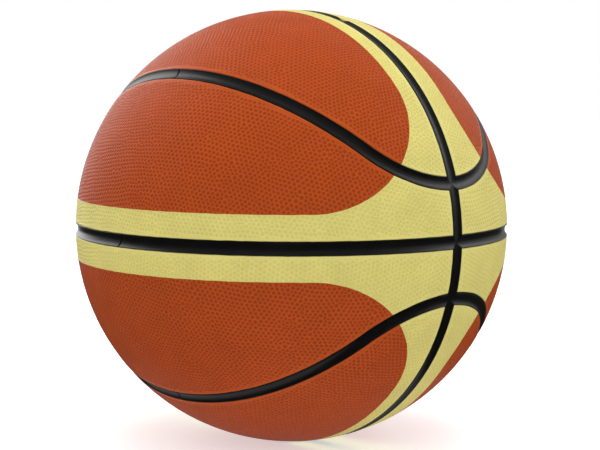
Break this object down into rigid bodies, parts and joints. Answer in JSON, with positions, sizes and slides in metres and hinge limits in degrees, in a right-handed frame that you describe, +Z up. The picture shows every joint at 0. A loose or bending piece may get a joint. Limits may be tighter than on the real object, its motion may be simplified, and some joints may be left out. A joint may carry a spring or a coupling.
{
  "type": "basketball",
  "caption": "Inflatable basketball with brown and cream pebbled leather panels between hollow black rubber channel strips, a wound carcass and a needle valve.",
  "frame": {"origin": "centre of the ball", "axes": "+Z up, square to the plane of the equator channel; +X through the crossing of the equator and meridian channels that the picture shows; -Y is the front, the large side on the picture's left"},
  "size_m": [0.2227, 0.2228, 0.2228],
  "materials": {
    "bladder_rubber": "smooth butyl rubber",
    "valve_rubber": "smooth black rubber",
    "core_rubber": "soft matt rubber",
    "winding_thread": "wound nylon thread",
    "carcass_rubber": "moulded rubber",
    "channel_rubber": "moulded black rubber, slightly glossy",
    "brown_leather": "pebbled leather, satin",
    "cream_leather": "pebbled leather, satin"
  },
  "bodies": {
    "root": {"bladder": "bladder_rubber", "valve_housing": "valve_rubber", "valve_core": "core_rubber", "thread_winding": "winding_thread", "carcass": "carcass_rubber", "meridian_strip": "channel_rubber", "equator_strip_front": "channel_rubber", "equator_strip_back": "channel_rubber", "curved_strip_upper_front": "channel_rubber", "curved_strip_upper_back": "channel_rubber", "curved_strip_lower_front": "channel_rubber", "curved_strip_lower_back": "channel_rubber", "crown_brown_upper_front": "brown_leather", "crown_brown_upper_back": "brown_leather", "crown_brown_lower_front": "brown_leather", "crown_brown_lower_back": "brown_leather", "crown_cream_upper_front": "cream_leather", "crown_cream_upper_back": "cream_leather", "crown_cream_lower_front": "cream_leather", "crown_cream_lower_back": "cream_leather", "waist_brown_upper_front": "brown_leather", "waist_brown_upper_back": "brown_leather", "waist_brown_lower_front": "brown_leather", "waist_brown_lower_back": "brown_leather", "waist_cream_upper_front": "cream_leather", "waist_cream_upper_back": "cream_leather", "waist_cream_lower_front": "cream_leather", "waist_cream_lower_back": "cream_leather"}
  },
  "joints": []
}
